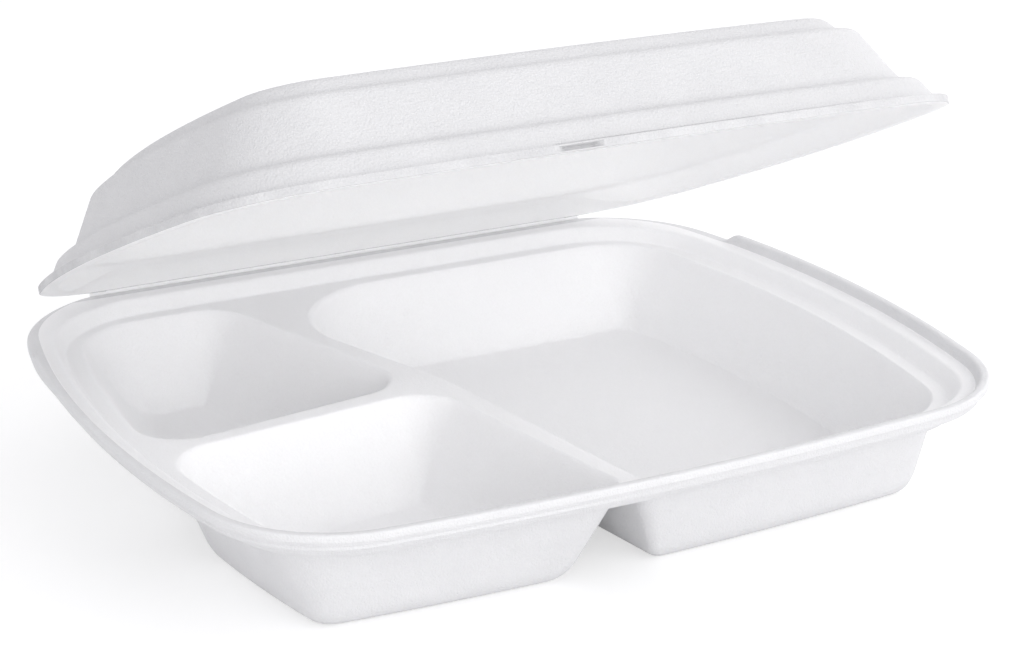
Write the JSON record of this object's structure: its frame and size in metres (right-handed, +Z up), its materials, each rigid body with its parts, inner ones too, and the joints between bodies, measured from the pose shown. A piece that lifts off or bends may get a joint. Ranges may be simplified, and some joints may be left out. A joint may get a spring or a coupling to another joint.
{
  "type": "foam clamshell container",
  "caption": "Hinged white foam meal box with a compartmented tray, a stepped rim and a domed lid on a crease, for carrying a hot meal.",
  "frame": {"origin": "on the table under the middle of the tray's outline", "axes": "+X along the hinge crease to the right, +Y from the front edge to the crease, +Z up"},
  "size_m": [0.2394, 0.2075, 0.1303],
  "materials": {
    "foam": "matte"
  },
  "bodies": {
    "tray": {"tray": "foam"},
    "lid": {"lid": "foam"}
  },
  "joints": [
    {"name": "lid_hinge", "type": "hinge", "parent": "tray", "child": "lid", "pos_m": [0, 0.1034, 0.0332], "axis": [-1, 0, 0], "range_deg": [-23.6, 156.4], "stiffness_Nm_per_rad": 0.02, "springref_deg": 14.32}
  ]
}
